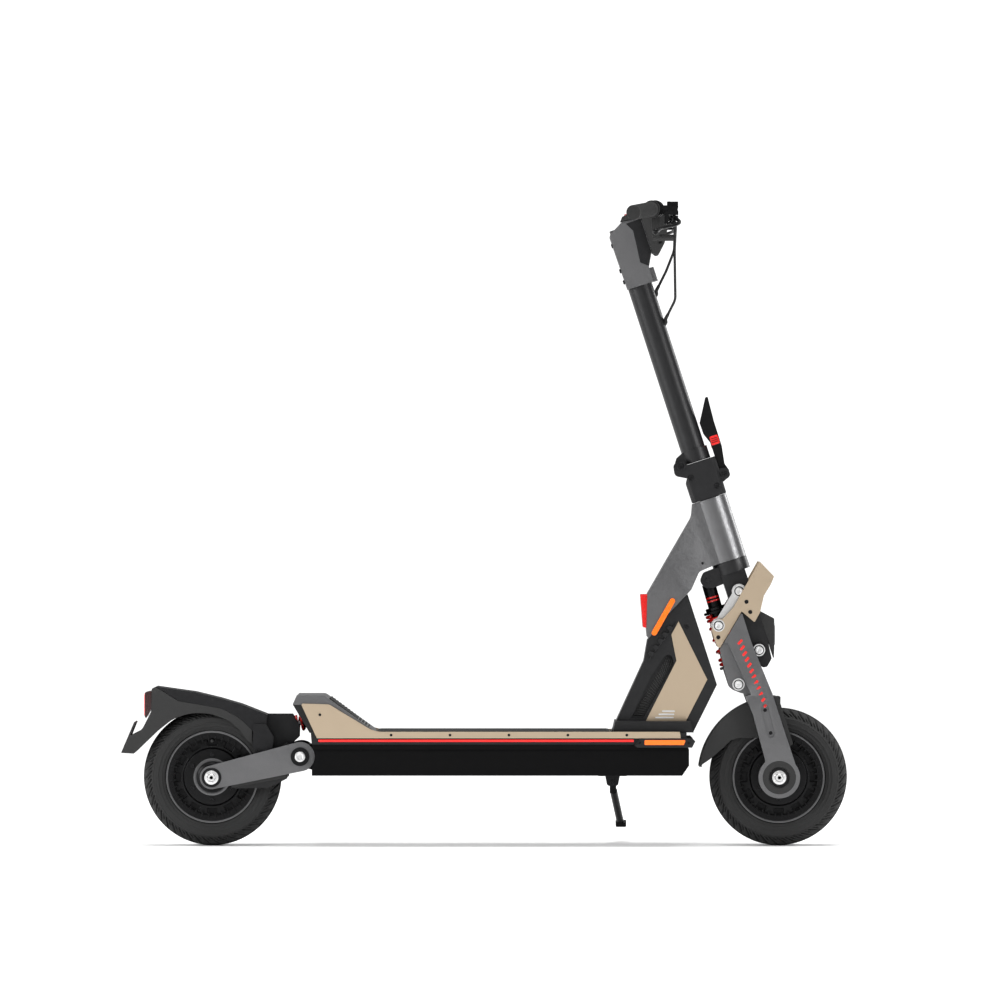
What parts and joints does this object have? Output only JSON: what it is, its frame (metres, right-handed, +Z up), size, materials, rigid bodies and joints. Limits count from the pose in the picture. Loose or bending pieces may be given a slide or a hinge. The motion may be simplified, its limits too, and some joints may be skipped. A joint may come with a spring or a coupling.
{
  "type": "electric kick scooter",
  "caption": "Long-deck electric kick scooter with swing-link front fork, rear swingarm, hub-motor wheels, folding stem and swept handlebar.",
  "frame": {"origin": "on the ground under the middle of the overall box", "axes": "+X forward along the deck, +Y to the rider's left, +Z up"},
  "size_m": [1.4849, 0.656, 1.3172],
  "materials": {
    "dark_frame": "satin powder coat, dark charcoal",
    "grey_casting": "satin metallic grey paint",
    "tray_black": "matt black",
    "champagne": "satin champagne anodised",
    "silver": "bright machined",
    "steel": "turned and polished",
    "black_plastic": "moulded, fine grain",
    "fender_grey": "moulded, satin grey",
    "hub_black": "satin black anodised",
    "tyre_rubber": "moulded tread",
    "soft_rubber": "matt, textured",
    "red_lens": "clear red moulding",
    "amber_lens": "prismatic amber reflector",
    "red_paint": "gloss red powder coat",
    "clear_lens": "clear",
    "display_glass": "smoked gloss",
    "button_plastic": "moulded",
    "cell_sleeve": "wrapped",
    "controller_case": "as cast"
  },
  "bodies": {
    "chassis": {"battery_case": "tray_black", "deck_frame": "dark_frame", "side_trims": "champagne", "red_lamps": "red_lens", "deck_mat": "soft_rubber", "kick_plate": "dark_frame", "battery_pack": "cell_sleeve", "motor_controller": "controller_case", "neck_casting": "grey_casting", "side_reflectors": "amber_lens", "riser_frame": "dark_frame", "heat_sink_fins": "dark_frame", "head_bearings": "steel", "frame_hardware": "steel"},
    "kickstand": {"kickstand": "hub_black"},
    "rear_arm": {"swingarm": "grey_casting", "rear_axle": "steel", "rear_caliper": "hub_black", "rear_fender": "fender_grey", "rear_mudflap": "black_plastic", "tail_light": "red_lens"},
    "rear_wheel": {"rear_tyre": "tyre_rubber", "rear_hub_motor": "hub_black", "rear_brake_disc": "steel"},
    "rear_shock_body": {"rear_shock_body": "hub_black"},
    "rear_shock_rod": {"rear_shock_rod": "steel", "rear_shock_spring": "red_paint"},
    "column": {"steering_column": "dark_frame", "headlight_housing": "black_plastic", "headlight_lens": "clear_lens", "fold_block": "dark_frame"},
    "upper_link": {"upper_links": "silver"},
    "lower_link": {"lower_links": "dark_frame", "lower_link_bolts": "silver"},
    "fork": {"fork_legs": "grey_casting", "fork_wings": "champagne", "front_axle": "steel", "front_caliper": "hub_black", "front_fender": "black_plastic"},
    "front_wheel": {"front_tyre": "tyre_rubber", "front_hub_motor": "hub_black", "front_brake_disc": "steel"},
    "front_shock_body": {"front_shock_body": "hub_black"},
    "front_shock_rod": {"front_shock_rod": "steel", "front_shock_spring": "red_paint"},
    "stem": {"stem_tube": "dark_frame", "stem_head": "grey_casting", "cockpit_housing": "black_plastic", "display": "display_glass", "handlebar": "hub_black", "grips": "soft_rubber", "brake_clamps": "hub_black", "brake_hoses": "soft_rubber"},
    "fold_lever": {"fold_lever": "hub_black"},
    "fold_catch": {"fold_catch": "red_paint"},
    "brake_lever_left": {"brake_lever_left": "hub_black"},
    "brake_lever_right": {"brake_lever_right": "hub_black"},
    "throttle": {"throttle": "black_plastic"},
    "horn_button": {"horn_button": "button_plastic"},
    "power_button": {"power_button": "button_plastic"}
  },
  "joints": [
    {"name": "steering", "type": "hinge", "parent": "chassis", "child": "column", "pos_m": [0.48087, 0, 0.64672], "axis": [-0.309, 0, 0.9511], "range_deg": [-30, 30]},
    {"name": "stem_fold", "type": "hinge", "parent": "column", "child": "stem", "pos_m": [0.40282, 0, 0.77592], "axis": [0, -1, 0], "range_deg": [0, 105]},
    {"name": "fold_lever_swing", "type": "hinge", "parent": "column", "child": "fold_lever", "pos_m": [0.49186, 0, 0.76175], "axis": [0, 1, 0], "range_deg": [0, 80]},
    {"name": "fold_catch_slide", "type": "slide", "parent": "fold_lever", "child": "fold_catch", "axis": [-0.309, 0, 0.9511], "range_m": [0, 0.006], "stiffness_N_per_m": 150, "springref_m": -0.008},
    {"name": "brake_lever_left_pull", "type": "hinge", "parent": "stem", "child": "brake_lever_left", "pos_m": [0.38525, 0.18, 1.27781], "axis": [0, 0, 1], "range_deg": [0, 14], "stiffness_Nm_per_rad": 0.8, "springref_deg": -28.65},
    {"name": "brake_lever_right_pull", "type": "hinge", "parent": "stem", "child": "brake_lever_right", "pos_m": [0.38525, -0.18, 1.27781], "axis": [0, 0, -1], "range_deg": [0, 14], "stiffness_Nm_per_rad": 0.8, "springref_deg": -28.65},
    {"name": "throttle_press", "type": "hinge", "parent": "stem", "child": "throttle", "pos_m": [0.34743, -0.152, 1.29805], "axis": [-0.0837, -0.9964, -0.0093], "range_deg": [0, 25], "stiffness_Nm_per_rad": 0.3, "springref_deg": -22.92},
    {"name": "horn_button_press", "type": "slide", "parent": "stem", "child": "horn_button", "axis": [1, 0, 0], "range_m": [0, 0.0015], "stiffness_N_per_m": 300, "springref_m": -0.004},
    {"name": "power_button_press", "type": "slide", "parent": "stem", "child": "power_button", "axis": [0.309, 0, -0.9511], "range_m": [0, 0.0012], "stiffness_N_per_m": 300, "springref_m": -0.004},
    {"name": "kickstand_swing", "type": "hinge", "parent": "chassis", "child": "kickstand", "pos_m": [0.2634, 0.078, 0.126], "axis": [0, 1, 0], "range_deg": [0, 95]},
    {"name": "rear_arm_swing", "type": "hinge", "parent": "chassis", "child": "rear_arm", "pos_m": [-0.3762, 0, 0.1835], "axis": [0, 1, 0], "range_deg": [0, 10], "stiffness_Nm_per_rad": 350, "springref_deg": -22.92},
    {"name": "rear_wheel_spin", "type": "hinge", "parent": "rear_arm", "child": "rear_wheel", "pos_m": [-0.557, 0, 0.141], "axis": [0, 1, 0], "continuous": true},
    {"name": "rear_shock_swing", "type": "hinge", "parent": "chassis", "child": "rear_shock_body", "pos_m": [-0.287, 0, 0.252], "axis": [0, 1, 0], "range_deg": [0, 3.46]},
    {"name": "rear_shock_slide", "type": "slide", "parent": "rear_shock_body", "child": "rear_shock_rod", "axis": [0.9999, 0, 0.0148], "range_m": [0, 0.01256], "deforming": ["rear_shock_spring"]},
    {"name": "front_link_swing", "type": "hinge", "parent": "column", "child": "upper_link", "pos_m": [0.52071, 0, 0.52087], "axis": [0, 1, 0], "range_deg": [0, 17.5]},
    {"name": "fork_pivot", "type": "hinge", "parent": "upper_link", "child": "fork", "pos_m": [0.47828, 0, 0.45083], "axis": [0, 1, 0], "range_deg": [-17, 0], "stiffness_Nm_per_rad": 70, "springref_deg": 28.65},
    {"name": "lower_link_swing", "type": "hinge", "parent": "column", "child": "lower_link", "pos_m": [0.56138, 0, 0.40055], "axis": [0, 1, 0], "range_deg": [0, 17.5]},
    {"name": "front_wheel_spin", "type": "hinge", "parent": "fork", "child": "front_wheel", "pos_m": [0.6017, 0, 0.141], "axis": [0, 1, 0], "continuous": true},
    {"name": "front_shock_swing", "type": "hinge", "parent": "column", "child": "front_shock_body", "pos_m": [0.45699, 0, 0.54222], "axis": [0, 1, 0], "range_deg": [0, 4.16]},
    {"name": "front_shock_slide", "type": "slide", "parent": "front_shock_body", "child": "front_shock_rod", "axis": [-0.2809, 0, 0.9597], "range_m": [0, 0.02022], "deforming": ["front_shock_spring"]}
  ],
  "couplings": [
    {"joint": "front_link_swing", "follows": "fork_pivot", "ratio": -1},
    {"joint": "lower_link_swing", "follows": "fork_pivot", "ratio": -1},
    {"joint": "front_shock_swing", "follows": "fork_pivot", "ratio": -0.22707},
    {"joint": "front_shock_slide", "follows": "fork_pivot", "m_per_rad": -0.066122},
    {"joint": "rear_shock_swing", "follows": "rear_arm_swing", "ratio": 0.31545},
    {"joint": "rear_shock_slide", "follows": "rear_arm_swing", "m_per_rad": 0.069665}
  ]
}
